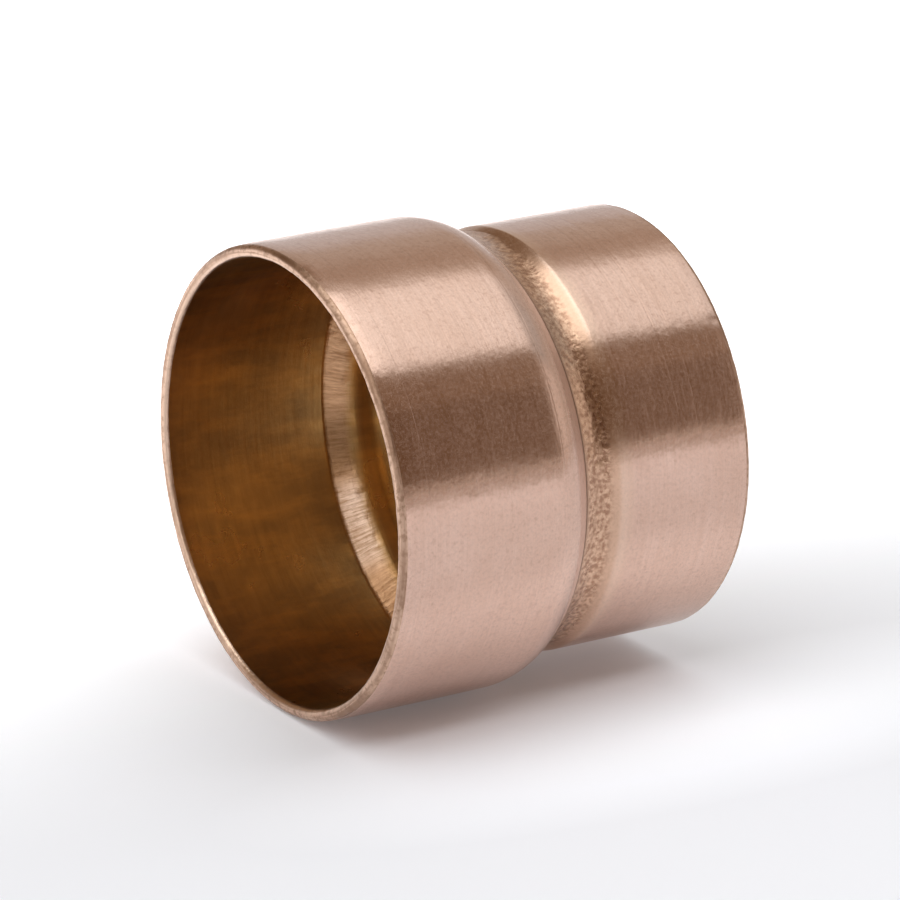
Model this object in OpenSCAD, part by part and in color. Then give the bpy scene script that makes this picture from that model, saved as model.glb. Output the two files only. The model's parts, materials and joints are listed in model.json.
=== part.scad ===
// Copper reducing coupling for soldered tube.
// It is one drawn tube: a large socket, a small socket, and a waist rolled
// in between them, whose inner crest is the stop that both tubes meet.
// Lengths are in millimetres. The fitting's axis is +X and +Z is up.
// The origin is the centre of the large socket's mouth.

/* [Large socket] */
// Outside diameter of the tube that enters the large socket
large_tube_d = 34.925; // [34.5:0.025:35.5]
// Wall thickness of the large socket
large_wall = 1.1; // [0.95:0.05:1.3]
// How far the large tube goes in
large_depth = 14; // [10:0.5:20]

/* [Small socket] */
// Outside diameter of the tube that enters the small socket
small_tube_d = 31.75; // [31.25:0.05:32.25]
// Wall thickness of the small socket
small_wall = 1; // [0.95:0.05:1.2]
// How far the small tube goes in
small_depth = 12; // [8:0.5:18]

/* [Solder joint] */
// How much wider each socket is than its tube, on the diameter
solder_gap = 0.135; // [0.05:0.005:0.25]

/* [Waist] */
// Length of the waist, from one socket to the other
waist_length = 6.5; // [6.4:0.1:7]
// How far the stop stands in from the small socket's wall
stop_height = 0.5; // [0.4:0.05:0.7]
// Wall thickness at the bottom of the groove
waist_wall = 0.95; // [0.85:0.05:1.1]
// Slope of the groove's floor beside the shoulder, in degrees
floor_slope = 15; // [10:1:15]

/* [Rounded edges] */
// Radius of the large socket's shoulder
shoulder_round = 4.4; // [4:0.1:4.6]
// Radius at the bottom of the groove
groove_round = 2.5; // [1.8:0.1:2.8]
// Radius of the edge where the small socket meets the groove
ridge_round = 0.5; // [0.3:0.1:0.6]
// Radius of the stop's crest
crest_round = 4.4; // [3.6:0.1:4.8]
// Radius in the corner where each socket's wall meets the stop
corner_round = 0.5; // [0.3:0.1:0.5]
// Radius of the four edges of the two mouths
rim_round = 0.45; // [0.2:0.05:0.45]

/* [Hidden] */
$fn = 96;

// Wall radii of the two sockets
large_bore_r = (large_tube_d + solder_gap) / 2;
small_bore_r = (small_tube_d + solder_gap) / 2;
large_outer_r = large_bore_r + large_wall;
small_outer_r = small_bore_r + small_wall;

// Smallest radii of the waist, inside and outside
crest_r = small_bore_r - stop_height;
groove_r = crest_r + waist_wall;

// Places along the axis
length = large_depth + waist_length + small_depth;
small_start = length - small_depth;

// Where the stop's crest and the groove's bottom lie, as shares of the waist
crest_share = 0.69;
groove_share = 0.785;
crest_x = large_depth + crest_share * waist_length;
groove_x = large_depth + groove_share * waist_length;

// How far along +X each rounding's centre lies from the end of its socket
shoulder_late = -0.1;
large_corner_late = 0.4;
ridge_late = 0.4;
small_corner_late = 0.55;

// Largest sum of the radii of a bulging arc and a hollow one that leaves a
// straight flank between them. step is how far apart their tips lie outwards.
function room(apart, step) = (apart ^ 2 + step ^ 2) / (2 * step);

// The two hollow radii, cut back where a deep step leaves them less room
room_share = 0.98;
ridge_x = small_start + ridge_late;
ridge_room = room(ridge_x - groove_x, small_outer_r - groove_r);
bottom_r = min(groove_round, room_share * ridge_room - ridge_round);
large_corner_x = large_depth + large_corner_late;
small_corner_x = small_start + small_corner_late;
large_room = room(crest_x - large_corner_x, large_bore_r - crest_r);
small_room = room(small_corner_x - crest_x, stop_height);
top_r = min(crest_round, room_share * min(large_room, small_room) - corner_round);

// Centres of the section's arcs, as [along the axis, out from it]
shoulder = [large_depth + shoulder_late, large_outer_r - shoulder_round];
groove = [groove_x, groove_r + bottom_r];
ridge = [ridge_x, small_outer_r - ridge_round];
crest = [crest_x, crest_r + top_r];
large_corner = [large_corner_x, large_bore_r - corner_round];
small_corner = [small_corner_x, small_bore_r - corner_round];
large_rim_out = [rim_round, large_outer_r - rim_round];
large_rim_in = [rim_round, large_bore_r + rim_round];
small_rim_out = [length - rim_round, small_outer_r - rim_round];
small_rim_in = [length - rim_round, small_bore_r + rim_round];

// How far a flank's ends lie inside the arcs that they run into
lap = 0.0005;
// How far the hollow runs past each mouth
past = 1;

// A step of one millimetre at an angle in the section
function along(angle) = [cos(angle), sin(angle)];

// Angle square to the straight flank that runs from a bulging arc to a hollow
// one. side is 1 where the hollow arc is further along the axis, or else -1.
function across(bulge, bulge_r, hollow, hollow_r, side) =
    atan2(hollow.y - bulge.y, hollow.x - bulge.x)
    + side * acos((bulge_r + hollow_r) / norm(hollow - bulge));

// Corner points of a flank from a bulging arc down to a hollow one. The arcs
// are not in them: the bulging one is a disc added afterwards, and the hollow
// one is a disc cut away.
function flank(bulge, bulge_r, hollow, hollow_r, side) =
    let (angle = across(bulge, bulge_r, hollow, hollow_r, side))
    [
        bulge,
        bulge + (bulge_r - lap) * along(angle),
        hollow - (hollow_r - lap) * along(angle)
    ];

function reversed(points) = [for (i = [1:len(points)]) points[len(points) - i]];

// The groove's sloping floor, from its bottom to below the shoulder's centre
floor_low = groove - (bottom_r - lap) * along(90 - floor_slope);
floor_rise = (floor_low.x - shoulder.x) * tan(floor_slope);
floor_high = [shoulder.x, floor_low.y + floor_rise];

module disc(centre, radius) {
    translate(centre) circle(radius);
}

// Half section of everything inside the outer surface. The shoulder is added
// last, as it meets the groove's floor in a crease.
module outer_profile() {
    difference() {
        union() {
            polygon(concat(
                [
                    [0, 0],
                    [length, 0],
                    [length, small_rim_out.y],
                    small_rim_out,
                    [small_rim_out.x, small_outer_r],
                    [ridge.x, small_outer_r]
                ],
                flank(ridge, ridge_round, groove, bottom_r, -1),
                [
                    groove,
                    floor_low,
                    floor_high,
                    [shoulder.x, large_outer_r],
                    [large_rim_out.x, large_outer_r],
                    large_rim_out,
                    [0, large_rim_out.y]
                ]
            ));
            disc(large_rim_out, rim_round);
            disc(ridge, ridge_round);
            disc(small_rim_out, rim_round);
        }
        disc(groove, bottom_r);
    }
    disc(shoulder, shoulder_round);
}

// Half section of the hollow, from past one mouth to past the other
module hollow_profile() {
    difference() {
        union() {
            polygon(concat(
                [
                    [-past, -past],
                    [length + past, -past],
                    [length + past, small_rim_in.y],
                    small_rim_in,
                    [small_rim_in.x, small_bore_r],
                    [small_corner.x, small_bore_r]
                ],
                flank(small_corner, corner_round, crest, top_r, -1),
                [crest],
                reversed(flank(large_corner, corner_round, crest, top_r, 1)),
                [
                    [large_corner.x, large_bore_r],
                    [large_rim_in.x, large_bore_r],
                    large_rim_in,
                    [-past, large_rim_in.y]
                ]
            ));
            disc(large_corner, corner_round);
            disc(small_corner, corner_round);
        }
        disc(large_rim_in, rim_round);
        disc(crest, top_r);
        disc(small_rim_in, rim_round);
    }
}

// The fitting: its half section turned about the axis
module coupling_body() {
    color("#b8765a")
    rotate([0, 90, 0])
    rotate_extrude()
    mirror([1, -1])
    difference() {
        outer_profile();
        hollow_profile();
    }
}

coupling_body();
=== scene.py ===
"""Looks of the copper reducing coupling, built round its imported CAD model.

The fitting's own lengths are in millimetres until its mesh is made, and the
scene's are in metres. The fitting's axis is +X. An angle round the axis runs
from the front (-Y) up to the top (+Z).
"""
import json
import math

import bpy
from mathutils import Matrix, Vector, noise


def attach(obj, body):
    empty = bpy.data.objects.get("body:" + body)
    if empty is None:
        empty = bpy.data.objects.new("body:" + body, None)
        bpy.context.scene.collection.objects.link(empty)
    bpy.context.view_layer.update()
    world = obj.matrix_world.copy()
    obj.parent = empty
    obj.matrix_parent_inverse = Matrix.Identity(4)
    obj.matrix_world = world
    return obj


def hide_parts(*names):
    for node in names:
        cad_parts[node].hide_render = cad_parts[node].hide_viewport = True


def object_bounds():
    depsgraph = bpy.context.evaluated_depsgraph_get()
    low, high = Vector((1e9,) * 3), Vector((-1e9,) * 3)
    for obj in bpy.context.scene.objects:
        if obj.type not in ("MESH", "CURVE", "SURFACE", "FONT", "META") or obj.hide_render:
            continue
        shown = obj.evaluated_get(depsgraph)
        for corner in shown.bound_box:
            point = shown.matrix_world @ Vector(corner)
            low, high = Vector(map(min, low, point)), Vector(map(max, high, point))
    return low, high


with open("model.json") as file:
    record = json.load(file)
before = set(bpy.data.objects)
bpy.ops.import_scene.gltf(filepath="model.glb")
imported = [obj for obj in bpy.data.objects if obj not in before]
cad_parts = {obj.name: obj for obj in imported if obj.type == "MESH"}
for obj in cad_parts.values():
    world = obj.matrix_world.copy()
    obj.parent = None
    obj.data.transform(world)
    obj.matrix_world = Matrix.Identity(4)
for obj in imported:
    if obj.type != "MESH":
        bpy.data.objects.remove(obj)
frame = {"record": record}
cad_low, cad_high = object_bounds()

MM = 0.001

# ------------------------------------------------------------ section, in mm
# Taken from the CAD model
MOUNTS = {mount["name"]: mount["dims"] for mount in frame["record"]["mounts"]}
LENGTH = (cad_high.x - cad_low.x) / MM
LARGE_OUT = (cad_high.z - cad_low.z) / 2 / MM
LARGE_BORE = MOUNTS["large_socket"]["r_mm"]
SMALL_BORE = MOUNTS["small_socket"]["r_mm"]

# The same as the values of these names in the CAD source
LARGE_DEPTH = 14.0
SMALL_DEPTH = 12.0
SMALL_WALL = 1.0
STOP_HEIGHT = 0.5
WAIST_WALL = 0.95
FLOOR_SLOPE = 15
SHOULDER_ROUND = 4.4
GROOVE_ROUND = 2.5
RIDGE_ROUND = 0.5
CREST_ROUND = 4.4
CORNER_ROUND = 0.5
RIM_ROUND = 0.45

# Radii of the small socket's outside, the stop's crest and the groove's bottom
SMALL_OUT = SMALL_BORE + SMALL_WALL
CREST_R = SMALL_BORE - STOP_HEIGHT
GROOVE_R = CREST_R + WAIST_WALL

# Places along the axis: where the small socket starts, and the arcs' centres
SMALL_START = LENGTH - SMALL_DEPTH
SHOULDER_X = LARGE_DEPTH - 0.1
LARGE_CORNER_X = LARGE_DEPTH + 0.4
CREST_X = 18.5
GROOVE_X = 19.1
RIDGE_X = SMALL_START + 0.4
SMALL_CORNER_X = SMALL_START + 0.55

# Centres of the section's arcs, as (along the axis, out from it)
SHOULDER = (SHOULDER_X, LARGE_OUT - SHOULDER_ROUND)
GROOVE = (GROOVE_X, GROOVE_R + GROOVE_ROUND)
RIDGE = (RIDGE_X, SMALL_OUT - RIDGE_ROUND)
CREST = (CREST_X, CREST_R + CREST_ROUND)
LARGE_CORNER = (LARGE_CORNER_X, LARGE_BORE - CORNER_ROUND)
SMALL_CORNER = (SMALL_CORNER_X, SMALL_BORE - CORNER_ROUND)
LARGE_RIM_OUT = (RIM_ROUND, LARGE_OUT - RIM_ROUND)
LARGE_RIM_IN = (RIM_ROUND, LARGE_BORE + RIM_ROUND)
SMALL_RIM_OUT = (LENGTH - RIM_ROUND, SMALL_OUT - RIM_ROUND)
SMALL_RIM_IN = (LENGTH - RIM_ROUND, SMALL_BORE + RIM_ROUND)

# How far apart the mesh's rings lie at most, and the fewest steps on an arc
COARSE = 1.1
FINE = 0.2
FINEST = 0.09
LEAST_STEPS = 3

# The angles round the axis of each ring's points
TURN_STEPS = 576
TURNS = [2 * math.pi * k / TURN_STEPS for k in range(TURN_STEPS)]

# The mesh's material slots
OUTSIDE, CUT_EDGE, BORE = range(3)


def flank_angle(bulge, bulge_r, hollow, hollow_r, side):
    """Angle square to the straight flank between a bulging arc and a hollow one."""
    along = hollow[0] - bulge[0]
    out = hollow[1] - bulge[1]
    lean = math.acos((bulge_r + hollow_r) / math.hypot(along, out))
    return math.degrees(math.atan2(out, along) + side * lean) % 360


def crease_angle():
    """Angle on the shoulder's arc where it meets the groove's sloping floor."""
    square = math.radians(90 - FLOOR_SLOPE)
    along = GROOVE[0] - SHOULDER[0]
    out = GROOVE[1] - SHOULDER[1]
    apart = along * math.cos(square) + out * math.sin(square) - GROOVE_ROUND
    return math.degrees(square - math.acos(apart / SHOULDER_ROUND))


def arc(centre, radius, start, end, step):
    """Points on an arc, from one angle to another, in degrees."""
    steps = math.ceil(abs(math.radians(end - start)) * radius / step)
    count = max(LEAST_STEPS, steps)
    points = []
    for i in range(count + 1):
        angle = math.radians(start + (end - start) * i / count)
        along = centre[0] + radius * math.cos(angle)
        out = centre[1] + radius * math.sin(angle)
        points.append((along, out))
    return points


def between(start, end, step):
    """Points on a straight line, without its ends."""
    count = max(1, math.ceil(math.dist(start, end) / step))
    points = []
    for i in range(1, count):
        along = start[0] + (end[0] - start[0]) * i / count
        out = start[1] + (end[1] - start[1]) * i / count
        points.append((along, out))
    return points


def section():
    """The closed section as (along, out, slot), outside first and then the hollow."""
    crease = crease_angle()
    floor = 270 - FLOOR_SLOPE
    fall_out = flank_angle(RIDGE, RIDGE_ROUND, GROOVE, GROOVE_ROUND, -1)
    rise_in = flank_angle(LARGE_CORNER, CORNER_ROUND, CREST, CREST_ROUND, 1)
    fall_in = flank_angle(SMALL_CORNER, CORNER_ROUND, CREST, CREST_ROUND, -1)
    # Each row: an arc, as its centre, radius, two angles, step and slot, and
    # then the step and the slot of the straight line that follows it
    rows = [
        (LARGE_RIM_OUT, RIM_ROUND, 180, 90, FINEST, CUT_EDGE, COARSE, OUTSIDE),
        (SHOULDER, SHOULDER_ROUND, 90, crease, FINE, OUTSIDE, FINE, OUTSIDE),
        (GROOVE, GROOVE_ROUND, floor, 180 + fall_out, FINE, OUTSIDE, FINE, OUTSIDE),
        (RIDGE, RIDGE_ROUND, fall_out, 90, FINEST, OUTSIDE, COARSE, OUTSIDE),
        (SMALL_RIM_OUT, RIM_ROUND, 90, 0, FINEST, CUT_EDGE, FINEST, CUT_EDGE),
        (SMALL_RIM_IN, RIM_ROUND, 0, -90, FINEST, CUT_EDGE, COARSE, BORE),
        (SMALL_CORNER, CORNER_ROUND, 90, fall_in, FINE, BORE, FINE, BORE),
        (CREST, CREST_ROUND, 180 + fall_in, 180 + rise_in, FINE, BORE, FINE, BORE),
        (LARGE_CORNER, CORNER_ROUND, rise_in, 90, FINE, BORE, COARSE, BORE),
        (LARGE_RIM_IN, RIM_ROUND, -90, -180, FINEST, CUT_EDGE, FINEST, CUT_EDGE),
    ]
    curves = [arc(*row[:5]) for row in rows]
    points = []
    for row, curve, following in zip(rows, curves, curves[1:] + curves[:1]):
        slot, line_step, line_slot = row[5:]
        line = between(curve[-1], following[0], line_step)
        points += [(*point, slot) for point in curve[:-1]]
        points += [(*point, line_slot) for point in [curve[-1], *line]]
    return points


# ------------------------------------------------ where the marks lie, in mm
# Where each kind of mark starts, is full, fades and ends along the axis
UNBRUSHED_BAND = (GROOVE_X - 1.7, GROOVE_X - 1.4, RIDGE_X - 0.1, RIDGE_X + 0.3)
GRAIN_BAND = (GROOVE_X - 1.6, GROOVE_X - 1.1, RIDGE_X - 1.3, RIDGE_X - 0.6)
CREASE_BAND = (SHOULDER_X + 2.0, SHOULDER_X + 2.9, GROOVE_X - 1.5, GROOVE_X - 1.4)
# The shoulder's foot gets painted shade, standing in for the shade in the groove's crease
CREASE_SHADE_BAND = (GROOVE_X - 1.75, GROOVE_X - 1.58, GROOVE_X - 1.55, GROOVE_X - 1.3)
# The ridge is painted lighter: partly burnished wear, partly a painted highlight of its rounding
RIDGE_BAND = (RIDGE_X - 0.5, RIDGE_X - 0.2, RIDGE_X + 0.05, RIDGE_X + 0.3)
STOP_BAND = (LARGE_CORNER_X, LARGE_CORNER_X + 0.3, CREST_X - 2.9, CREST_X - 1.9)

# How far out from the axis the large mouth's wear starts to fade, and ends
MOUTH_WEAR = (LARGE_BORE + 0.1, LARGE_BORE + 0.45)

# The groove's grain round the axis: its middle, its swing, and where it is most
GRAIN_MIDDLE = 0.82
GRAIN_SWING = 0.18
GRAIN_MOST = math.radians(-20)

# Patches on the stop, in degrees round the axis: the middle of each one, and
# how far from there it starts to fade, and ends
# A darker patch on the stop's near flank
STOP_DARK_PATCH = (194, 3, 14)
# A painted highlight on the stop's near flank
STOP_HIGHLIGHT_PATCH = (217, 7, 16)


def smooth_step(value, low, high):
    """Share from 0 to 1 that rises smoothly from one value to another."""
    share = min(1, max(0, (value - low) / (high - low)))
    return share * share * (3 - 2 * share)


def band(along, start, full, fade, end):
    """Share from 0 to 1 that rises and falls again along the axis."""
    return smooth_step(along, start, full) * (1 - smooth_step(along, fade, end))


def patch(turn, middle, fade, end):
    """Share from 1 to 0 that falls on both sides of an angle round the axis."""
    return 1 - smooth_step(abs(math.degrees(turn) - middle), fade, end)


def brushed_share(along, out, turn):
    """How much the outside was brushed: fully on the sockets, not in the waist."""
    return 1 - band(along, *UNBRUSHED_BAND)


def grain_share(along, out, turn):
    """How much of the groove's coarse grain the outside has."""
    round_axis = GRAIN_MIDDLE + GRAIN_SWING * math.cos(turn - GRAIN_MOST)
    return band(along, *GRAIN_BAND) * round_axis


def crease_share(along, out, turn):
    """How near the outside is to the shoulder's foot."""
    return band(along, *CREASE_BAND)


def stop_share(along, out, turn):
    """How much of the stop's wrinkled near flank the hollow has."""
    return band(along, *STOP_BAND)


def crease_shade_share(along, out, turn):
    """How much painted shade darkens the shoulder's foot, in the groove's crease."""
    return band(along, *CREASE_SHADE_BAND)


def worn_and_highlight_share(along, out, turn):
    """How bright the small socket's ridge is made, partly burnished wear and partly a painted
    highlight, and how bright wear has made the large mouth.
    """
    mouth = 1 - smooth_step(out, *MOUTH_WEAR) if along < RIM_ROUND else 0
    return max(band(along, *RIDGE_BAND), mouth)


def darkened_share(along, out, turn):
    """How much darker the stop is made, in a patch on one side of it."""
    return patch(turn, *STOP_DARK_PATCH)


def stop_highlight_share(along, out, turn):
    """How much painted highlight the stop has, next to its darker patch."""
    return patch(turn, *STOP_HIGHLIGHT_PATCH)


# The mesh's attributes that the finishes read, each from 0 to 1
SHARES = {
    "brushed": brushed_share,
    "grain": grain_share,
    "crease": crease_share,
    "stop": stop_share,
    "dirt": crease_shade_share,
    "worn": worn_and_highlight_share,
    "stained": darkened_share,
    "rubbed": stop_highlight_share,
}

# -------------------------------------------------- shape's unevenness, in mm
# Kinds of dents, as (how wide they are, half the depth of the deepest)
WAVES = (6, 0.012)
GRAINS = (0.9, 0.03)
SAW_MARKS = (0.9, 0.02)
BURRS = (0.4, 0.012)
BORE_WAVES = (3, 0.02)
FOLDS = (0.8, 0.05)

# How far the large mouth's outside is eased in, how far back from the mouth
# that starts, and what share of it the outer part of the cut edge has
MOUTH_EASE = 0.12
MOUTH_EASE_LENGTH = 1.8
CUT_EASE_SHARE = 0.65
CUT_EASE_START = LARGE_BORE + 0.5

# How far in the outside lies past the large socket, and where that starts and
# is full
WAIST_EASE = 0.03
WAIST_EASE_PLACES = (12.4, 15.2)


def dents(place, kind, share=1):
    """How deep a point lies in a kind of dents."""
    width, depth = kind
    return share * depth * (1 + noise.noise(place / width))


def unevenness(along, out, turn, slot):
    """How far a point stands in from the true section, as it never stands out."""
    place = Vector((along, out * math.cos(turn), out * math.sin(turn)))
    mouth_ease = MOUTH_EASE * max(0, 1 - along / MOUTH_EASE_LENGTH) ** 2
    depth = dents(place, WAVES)
    if slot == OUTSIDE:
        depth += mouth_ease
        depth += WAIST_EASE * smooth_step(along, *WAIST_EASE_PLACES)
        depth += dents(place, GRAINS, grain_share(along, out, turn))
    elif slot == CUT_EDGE:
        outer = smooth_step(out, CUT_EASE_START, LARGE_OUT)
        depth += CUT_EASE_SHARE * mouth_ease * outer
        depth += dents(place, SAW_MARKS) + dents(place, BURRS)
    else:
        depth += dents(place, BORE_WAVES)
        depth += dents(place, FOLDS, stop_share(along, out, turn))
    return depth


def inward(points, i):
    """Unit normal of the section at a point, into the wall, as (along, out)."""
    before = points[i - 1]
    after = points[(i + 1) % len(points)]
    along = after[0] - before[0]
    out = after[1] - before[1]
    size = math.hypot(along, out)
    return out / size, -along / size


def make_coupling():
    """The whole fitting: its section in rings round the axis."""
    points = section()
    verts = []
    for i, (along, out, slot) in enumerate(points):
        normal = inward(points, i)
        for turn in TURNS:
            depth = unevenness(along, out, turn, slot)
            x = along + depth * normal[0]
            r = out + depth * normal[1]
            verts.append((x * MM, -r * math.cos(turn) * MM, r * math.sin(turn) * MM))
    faces = []
    slots = []
    for i, (_, _, slot) in enumerate(points):
        ring = i * TURN_STEPS
        after = (i + 1) % len(points) * TURN_STEPS
        for k in range(TURN_STEPS):
            n = (k + 1) % TURN_STEPS
            faces.append((ring + k, after + k, after + n, ring + n))
            slots.append(slot)
    mesh = bpy.data.meshes.new("copper_coupling")
    mesh.from_pydata(verts, [], faces)
    mesh.polygons.foreach_set("use_smooth", [True] * len(faces))
    mesh.polygons.foreach_set("material_index", slots)
    for name, share in SHARES.items():
        values = [share(p[0], p[1], turn) for p in points for turn in TURNS]
        mesh.attributes.new(name, "FLOAT", "POINT").data.foreach_set("value", values)
    piece = bpy.data.objects.new("copper_coupling", mesh)
    bpy.context.scene.collection.objects.link(piece)
    return piece


# ----------------------------------------------------------------- materials
class Material:
    """A material, and short ways to add nodes to it."""

    def __init__(self, name):
        self.material = bpy.data.materials.new(name)
        self.material.use_nodes = True
        self.tree = self.material.node_tree
        self.shader = self.tree.nodes["Principled BSDF"]
        self.place = self.add("ShaderNodeTexCoord").outputs["Object"]

    def add(self, kind, inputs=None, **settings):
        """Adds a node, with its settings and what its input sockets get."""
        made = self.tree.nodes.new(kind)
        for name, value in settings.items():
            setattr(made, name, value)
        for name, value in (inputs or {}).items():
            self.feed(made.inputs[name], value)
        return made

    def feed(self, socket, value):
        """Joins a socket to another one, or sets its value."""
        if isinstance(value, bpy.types.NodeSocket):
            self.tree.links.new(value, socket)
        else:
            socket.default_value = value

    def shade(self, inputs):
        """Sets or joins some of the shader's own sockets."""
        for name, value in inputs.items():
            self.feed(self.shader.inputs[name], value)

    def math(self, operation, *values):
        node = self.add("ShaderNodeMath", dict(enumerate(values)), operation=operation)
        return node.outputs[0]

    def vector(self, operation, *values):
        inputs = dict(enumerate(values))
        return self.add("ShaderNodeVectorMath", inputs, operation=operation).outputs

    def parts(self):
        """The X, Y and Z of the place."""
        return self.add("ShaderNodeSeparateXYZ", {0: self.place}).outputs

    def ramp(self, value, low, high, to_low, to_high, **settings):
        inputs = {0: value, 1: low, 2: high, 3: to_low, 4: to_high}
        return self.add("ShaderNodeMapRange", inputs, **settings).outputs[0]


class Finish(Material):
    """A copper finish, and short ways to mark it."""

    def __init__(self, name):
        super().__init__(name)
        self.shade({"Metallic": 1})

    def flat(self, parts):
        """The way from the axis straight out to the place."""
        return self.add("ShaderNodeCombineXYZ", {"Y": parts["Y"], "Z": parts["Z"]}).outputs[0]

    def stretched(self, along, around):
        """Coordinates for marks that run round the axis: so many per metre each way."""
        parts = self.parts()
        radius = self.vector("LENGTH", self.flat(parts))["Value"]
        reach = self.math("SUBTRACT", parts["X"], radius)
        joined = self.add("ShaderNodeCombineXYZ", {"X": reach, "Y": parts["Y"], "Z": parts["Z"]})
        return self.vector("MULTIPLY", joined.outputs[0], (along, around, around))[0]

    def lengthwise(self, along, around):
        """Coordinates for marks that run along the axis: so many per metre and per radian."""
        parts = self.parts()
        turned = self.vector("NORMALIZE", self.flat(parts))[0]
        reach = self.add("ShaderNodeCombineXYZ", {"X": self.math("MULTIPLY", parts["X"], along)})
        return self.vector("MULTIPLY_ADD", turned, (around,) * 3, reach.outputs[0])[0]

    def scaled(self, across):
        """Coordinates for marks that are alike all ways: so many per metre."""
        return self.vector("MULTIPLY", self.place, (across,) * 3)[0]

    def speckle(self, place, detail, roughness=0.5):
        """Noise from 0 to 1, about one mark per unit of its coordinates."""
        inputs = {"Vector": place, "Scale": 1.0, "Detail": detail, "Roughness": roughness}
        return self.add("ShaderNodeTexNoise", inputs).outputs["Fac"]

    def attribute(self, name):
        """One of the mesh's shares."""
        return self.add("ShaderNodeAttribute", attribute_name=name).outputs["Fac"]

    def mix(self, share, first, second):
        inputs = {"Factor": share, "A": first, "B": second}
        return self.add("ShaderNodeMix", inputs, data_type="RGBA").outputs["Result"]

    def tint(self, colour, other, share, most):
        """A colour that turns into another one where a share is 1, at most so far."""
        return self.mix(self.math("MULTIPLY", share, most), colour, other)

    def mark(self, colour, other, marks, low, high, most):
        """A colour that turns into another one as marks go from low to high."""
        return self.mix(self.ramp(marks, low, high, 0, most), colour, other)

    def total(self, base, *parts):
        """A base, and so much of each part added to it."""
        for value, amount in parts:
            base = self.math("MULTIPLY_ADD", value, amount, base)
        return base

    def relief(self, *layers):
        """Bumps, each with a height from 0 to 1 and its depth in metres."""
        normal = None
        for height, depth in layers:
            inputs = {"Height": height, "Distance": depth}
            if normal is not None:
                inputs["Normal"] = normal
            normal = self.add("ShaderNodeBump", inputs).outputs[0]
        return normal

    def brush_round_axis(self, strength, share=None):
        """Stretches reflections along the axis, as fine lines round it do."""
        tangent = self.add("ShaderNodeTangent", direction_type="RADIAL", axis="X")
        self.shade({
            "Anisotropic": strength,
            "Anisotropic Rotation": 0.25,
            "Tangent": tangent.outputs[0],
        })
        if share is not None:
            self.shade({"Anisotropic": self.math("MULTIPLY", share, strength)})

    def finish(self, colour, roughness, normal):
        self.shade({"Base Color": colour, "Roughness": roughness, "Normal": normal})
        return self.material


# Brushed outside
COPPER = (0.72, 0.50, 0.41, 1)
COPPER_DULL = (0.60, 0.39, 0.30, 1)
COPPER_DARK = (0.45, 0.28, 0.21, 1)
# Lighter copper for the ridge: partly burnished wear, partly a painted highlight
WORN_AND_HIGHLIGHT = (0.84, 0.63, 0.53, 1)
OUTSIDE_ROUGHNESS = 0.14
# How metallic the outside is, without dust and with the most of it
DUSTY_METAL = (1.0, 0.87)

# Rolled waist
WAIST = (0.60, 0.39, 0.28, 1)
ROLLED = (0.36, 0.20, 0.13, 1)
ROLLED_LIGHT = (0.66, 0.43, 0.30, 1)
# Painted shade for the crease at the shoulder's foot
CREASE_SHADE = (0.13, 0.07, 0.04, 1)

# Cut edges
CUT = (0.66, 0.45, 0.335, 1)
CUT_DARK = (0.32, 0.19, 0.125, 1)
CUT_BRIGHT = (0.84, 0.62, 0.48, 1)
CUT_ROUGHNESS = 0.3

# Bore, and the stop in it
TARNISHED = (0.51, 0.295, 0.11, 1)
TARNISHED_DARK = (0.285, 0.165, 0.065, 1)
TARNISHED_BRIGHT = (0.70, 0.37, 0.11, 1)
FOLDED = (0.70, 0.42, 0.245, 1)
FOLDED_DARK = (0.36, 0.19, 0.09, 1)
# Near-white colour for the painted highlight on the stop
STOP_HIGHLIGHT = (1.0, 0.76, 0.61, 1)
# Dark brown for a darker patch on the stop
STOP_DARK = (0.15, 0.07, 0.025, 1)
BORE_ROUGHNESS = 0.2


def outside_finish():
    """Pinkish copper, brushed on the sockets and grainy in the groove."""
    f = Finish("copper_outside")
    brushed = f.attribute("brushed")
    grain = f.attribute("grain")
    f.brush_round_axis(0.75, brushed)

    lines = f.speckle(f.stretched(along=7000, around=45), detail=3, roughness=0.7)
    streaks = f.speckle(f.stretched(along=2300, around=260), detail=3, roughness=0.6)
    ragged = f.speckle(f.stretched(along=1300, around=420), detail=2, roughness=0.6)
    haze = f.speckle(f.scaled(170), detail=4, roughness=0.6)
    specks = f.speckle(f.scaled(3200), detail=2, roughness=0.6)
    pits = f.speckle(f.scaled(2900), detail=1)
    dust = f.speckle(f.scaled(4200), detail=2, roughness=0.7)
    scratches = f.speckle(f.stretched(along=2400, around=14), detail=2)
    scratches = f.ramp(scratches, 0.65, 0.71, 0, 1)

    socket = f.mark(COPPER, COPPER_DULL, haze, low=0.35, high=0.68, most=0.6)
    socket = f.mark(socket, COPPER_DULL, lines, low=0.35, high=0.75, most=0.75)
    socket = f.mark(socket, COPPER_DARK, specks, low=0.52, high=0.75, most=0.5)
    rolled = f.mark(ROLLED, ROLLED_LIGHT, pits, low=0.36, high=0.66, most=1)
    colour = f.mix(brushed, f.mix(grain, WAIST, rolled), socket)
    # The ridge is painted lighter, partly burnished wear and partly a painted highlight
    colour = f.tint(colour, WORN_AND_HIGHLIGHT, f.attribute("worn"), most=0.35)
    # Painted shade darkens the shoulder's foot, where the crease is shaded
    colour = f.tint(colour, CREASE_SHADE, f.attribute("dirt"), most=0.8)
    colour = f.tint(colour, COPPER_DARK, scratches, most=0.25)
    f.shade({"Metallic": f.ramp(dust, 0.42, 0.68, *DUSTY_METAL)})

    rough = f.total(
        OUTSIDE_ROUGHNESS,
        (streaks, 0.1),
        (specks, 0.08),
        (grain, 0.05),
        (f.attribute("crease"), 0.22),
    )
    normal = f.relief(
        (f.math("MULTIPLY", lines, brushed), 2e-6),
        (haze, 48e-6),
        (streaks, 9e-6),
        (ragged, 20e-6),
        (specks, 4e-6),
        (scratches, -5e-6),
        (f.math("MULTIPLY", pits, grain), 38e-6),
    )
    return f.finish(colour, rough, normal)


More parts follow.
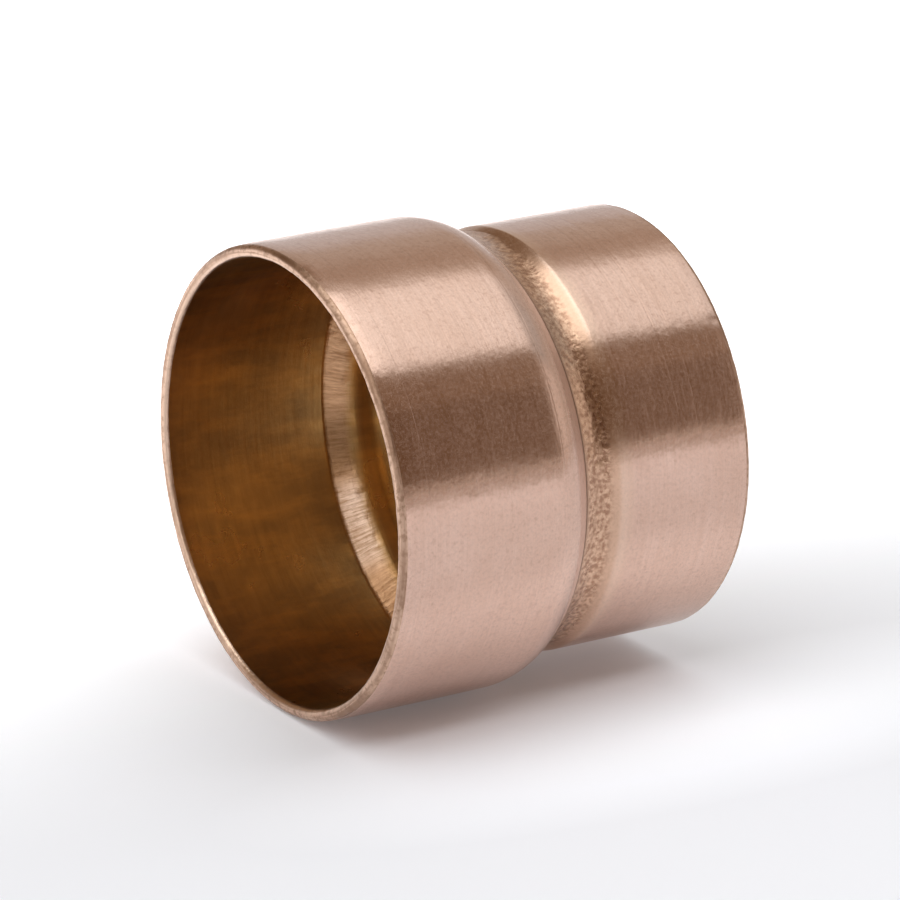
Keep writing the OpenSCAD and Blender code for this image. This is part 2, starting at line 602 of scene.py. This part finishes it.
def cut_finish():
    """Dull copper with the lines and burrs of a cut."""
    f = Finish("copper_cut")
    f.brush_round_axis(0.4)
    worn = f.attribute("worn")
    lines = f.speckle(f.stretched(along=3800, around=110), detail=3, roughness=0.6)
    burrs = f.speckle(f.scaled(2300), detail=3, roughness=0.6)

    colour = f.mark(CUT, CUT_DARK, lines, low=0.42, high=0.62, most=0.85)
    colour = f.mark(colour, CUT_DARK, burrs, low=0.48, high=0.64, most=0.75)
    colour = f.tint(colour, CUT_BRIGHT, worn, most=0.6)
    rough = f.total(CUT_ROUGHNESS, (burrs, 0.25), (worn, -0.1))
    normal = f.relief((lines, 25e-6), (burrs, 34e-6))
    return f.finish(colour, rough, normal)


def bore_finish():
    """Tarnished brown copper, with wrinkles along the axis on the stop."""
    f = Finish("copper_bore")
    stop = f.attribute("stop")
    stained = f.attribute("stained")
    haze = f.speckle(f.scaled(130), detail=4, roughness=0.6)
    lines = f.speckle(f.stretched(along=1600, around=120), detail=3, roughness=0.6)
    streaks = f.speckle(f.lengthwise(along=150, around=9), detail=4, roughness=0.6)
    folds = f.speckle(f.lengthwise(along=420, around=48), detail=4, roughness=0.75)
    flecks = f.speckle(f.scaled(2600), detail=2, roughness=0.6)

    wall = f.mark(TARNISHED, TARNISHED_DARK, haze, low=0.35, high=0.65, most=1)
    wall = f.mark(wall, TARNISHED_DARK, lines, low=0.4, high=0.75, most=0.6)
    wall = f.mark(wall, TARNISHED_BRIGHT, streaks, low=0.45, high=0.75, most=0.6)
    # A painted highlight lightens the stop in a patch
    folded = f.tint(FOLDED, STOP_HIGHLIGHT, f.attribute("rubbed"), most=0.9)
    # The stop is made darker in a patch on one side
    folded = f.tint(folded, STOP_DARK, stained, most=0.72)
    fold_lines = f.mix(stained, FOLDED_DARK, STOP_DARK)
    folded = f.mark(folded, fold_lines, folds, low=0.42, high=0.62, most=0.75)
    folded = f.mark(folded, FOLDED_DARK, haze, low=0.4, high=0.6, most=0.35)
    colour = f.mix(stop, wall, folded)
    rough = f.total(BORE_ROUGHNESS, (haze, 0.2), (stop, 0.1))
    fleck_share = f.total(0.2, (stop, 0.8))
    normal = f.relief(
        (lines, 14e-6),
        (f.math("MULTIPLY", stop, folds), 45e-6),
        (f.math("MULTIPLY", flecks, fleck_share), 40e-6),
    )
    return f.finish(colour, rough, normal)


# In the order of OUTSIDE, CUT_EDGE and BORE
FINISHES = (outside_finish, cut_finish, bore_finish)

# --------------------------------------------------------- studio, in metres
# The camera stands on the photo's side of the fitting, and looks at a point on
# the axis, which is given as a share of the fitting's length
CAMERA_AZIMUTH = math.radians(-31.86)
CAMERA_ELEVATION = math.radians(18.72)
CAMERA_DISTANCE = 0.4673
CAMERA_AIM = 0.482
CAMERA_LENS = 240
CAMERA_SENSOR = 36

# The light tent stands round the fitting's axis, in flat steps of so many degrees
TENT_RADIUS = 0.8
TENT_STEP = 4
# Each strip of it: its name, its two angles round the axis in degrees, its two
# ends along the axis, and its colour
STRIPS = (
    ("dark_card", 7.5, 44, -0.6, 0.8, (0.176, 0.108, 0.06)),
    ("dim_card", 44, 63, -0.6, 0.8, (0.25, 0.165, 0.1)),
    ("left_card", 1, 18, -1.6, -0.62, (0.15, 0.095, 0.06)),
    ("left_light", 19, 68, -2.0, -0.62, (1.3, 1.27, 1.24)),
    ("end_wall", 1, 62, 0.82, 2.2, (0.86, 0.80, 0.74)),
    ("far_side", 68, 172, -2.0, -0.92, (1.0, 0.98, 0.95)),
    ("softbox", 63, 110, -0.9, 1.6, (0.94, 0.965, 0.955)),
    ("softbox_edge", 110, 116, -0.9, 0.9, (0.6, 0.55, 0.48)),
    ("groove_card", 116, 180, -0.9, 0.2, (0.24, 0.155, 0.09)),
    ("warm_gap", 116, 134, 0.2, 0.9, (0.47, 0.38, 0.3)),
    ("backdrop_top", 134, 152, 0.2, 0.9, (0.56, 0.5, 0.43)),
    ("backdrop", 152, 180, 0.2, 0.9, (0.68, 0.67, 0.67)),
)
# How a strip's brightness changes along the axis: the two places between which
# it does, and its gain at each one
EVEN = (0.0, 1.0, 1.0, 1.0)
FADES = {"softbox": (0.0, 0.85, 2.2, 0.56)}

# The floor's half width, and its own glow: it starts and is full at two places
# along Y, and there is a spot of it beside the small socket
FLOOR_HALF = 2.5
FLOOR_COLOUR = (0.82, 0.84, 0.9, 1)
FLOOR_ROUGHNESS = 0.9
FLOOR_GLOW_COLOUR = (0.96, 0.98, 1, 1)
FLOOR_GLOW_PLACES = (-0.02, 0.07)
FLOOR_GLOW = 0.95
SPOT_PLACE = (0.028, -0.020)
SPOT_SIZE = (0.045, 0.014)
SPOT_GLOW = 0.22

WORLD_COLOUR = (0.6, 0.54, 0.48, 1)

# The lamp in front of the fitting, which leaves no reflection on it
LAMP_SIZE = (1.0, 0.6)
LAMP_POWER = 5.2
LAMP_PLACE = (0, -0.45, 0.55)
LAMP_TILT = math.radians(-38)


def make_camera():
    back = Vector((
        math.sin(CAMERA_AZIMUTH) * math.cos(CAMERA_ELEVATION),
        -math.cos(CAMERA_AZIMUTH) * math.cos(CAMERA_ELEVATION),
        math.sin(CAMERA_ELEVATION),
    ))
    target = Vector((CAMERA_AIM * LENGTH * MM, 0, 0))
    data = bpy.data.cameras.new("camera")
    data.lens = CAMERA_LENS
    data.sensor_width = CAMERA_SENSOR
    camera = bpy.data.objects.new("camera", data)
    camera.location = target + back * CAMERA_DISTANCE
    camera.rotation_mode = "QUATERNION"
    camera.rotation_quaternion = (-back).to_track_quat("-Z", "Y")
    bpy.context.scene.collection.objects.link(camera)
    bpy.context.scene.camera = camera


def table_top():
    """The floor's material: nearly white, with a glow of its own."""
    table = Material("white_table")
    behind = table.ramp(
        table.parts()["Y"], *FLOOR_GLOW_PLACES, 0.0, FLOOR_GLOW, interpolation_type="SMOOTHSTEP"
    )
    mapping = {
        "Vector": table.place,
        "Location": (*SPOT_PLACE, cad_low.z),
        "Scale": (*SPOT_SIZE, 1),
    }
    spot = table.add("ShaderNodeMapping", mapping, vector_type="TEXTURE").outputs[0]
    fade = table.add("ShaderNodeTexGradient", {0: spot}, gradient_type="SPHERICAL")
    table.shade({
        "Base Color": FLOOR_COLOUR,
        "Roughness": FLOOR_ROUGHNESS,
        "Specular IOR Level": 0,
        "Emission Color": FLOOR_GLOW_COLOUR,
        "Emission Strength": table.math("MULTIPLY_ADD", fade.outputs["Fac"], SPOT_GLOW, behind),
    })
    return table.material


def make_floor():
    signs = ((-1, -1), (1, -1), (1, 1), (-1, 1))
    corners = [(x * FLOOR_HALF, y * FLOOR_HALF, cad_low.z) for x, y in signs]
    mesh = bpy.data.meshes.new("floor")
    mesh.from_pydata(corners, [], [(0, 1, 2, 3)])
    mesh.materials.append(table_top())
    floor = bpy.data.objects.new("floor", mesh)
    bpy.context.scene.collection.objects.link(floor)


def glow(name, colour, places_and_gains):
    """A light cloth whose brightness may change along the axis."""
    cloth = Material(name)
    cloth.tree.nodes.remove(cloth.shader)
    gain = cloth.ramp(cloth.parts()["X"], *places_and_gains)
    light = cloth.add("ShaderNodeEmission", {"Color": (*colour, 1), "Strength": gain})
    cloth.feed(cloth.tree.nodes["Material Output"].inputs[0], light.outputs[0])
    return cloth.material


def tent_strip(name, low, high, near, far, colour):
    """A strip of the light tent, between two angles round the axis."""
    count = math.ceil((high - low) / TENT_STEP)
    verts = []
    for i in range(count + 1):
        angle = math.radians(low + (high - low) * i / count)
        for x in (near, far):
            verts.append((x, -TENT_RADIUS * math.cos(angle), TENT_RADIUS * math.sin(angle)))
    faces = [(2 * i, 2 * i + 1, 2 * i + 3, 2 * i + 2) for i in range(count)]
    mesh = bpy.data.meshes.new(name)
    mesh.from_pydata(verts, [], faces)
    mesh.materials.append(glow(f"{name}_cloth", colour, FADES.get(name, EVEN)))
    strip = bpy.data.objects.new(name, mesh)
    bpy.context.scene.collection.objects.link(strip)
    strip.visible_camera = False


def make_lights():
    world = bpy.data.worlds.new("studio")
    bpy.context.scene.world = world
    world.use_nodes = True
    world.node_tree.nodes["Background"].inputs["Color"].default_value = WORLD_COLOUR
    for strip in STRIPS:
        tent_strip(*strip)
    light = bpy.data.lights.new("table_light", "AREA")
    light.shape = "RECTANGLE"
    light.size, light.size_y = LAMP_SIZE
    light.energy = LAMP_POWER
    lamp = bpy.data.objects.new("table_light", light)
    lamp.location = LAMP_PLACE
    lamp.rotation_euler = (LAMP_TILT, 0, 0)
    lamp.visible_glossy = False
    lamp.visible_camera = False
    bpy.context.scene.collection.objects.link(lamp)


make_camera()
make_floor()
make_lights()
coupling = make_coupling()
for make_finish in FINISHES:
    coupling.data.materials.append(make_finish())
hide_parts("coupling_body")
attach(coupling, "root")

bpy.context.scene.view_settings.view_transform = "Standard"
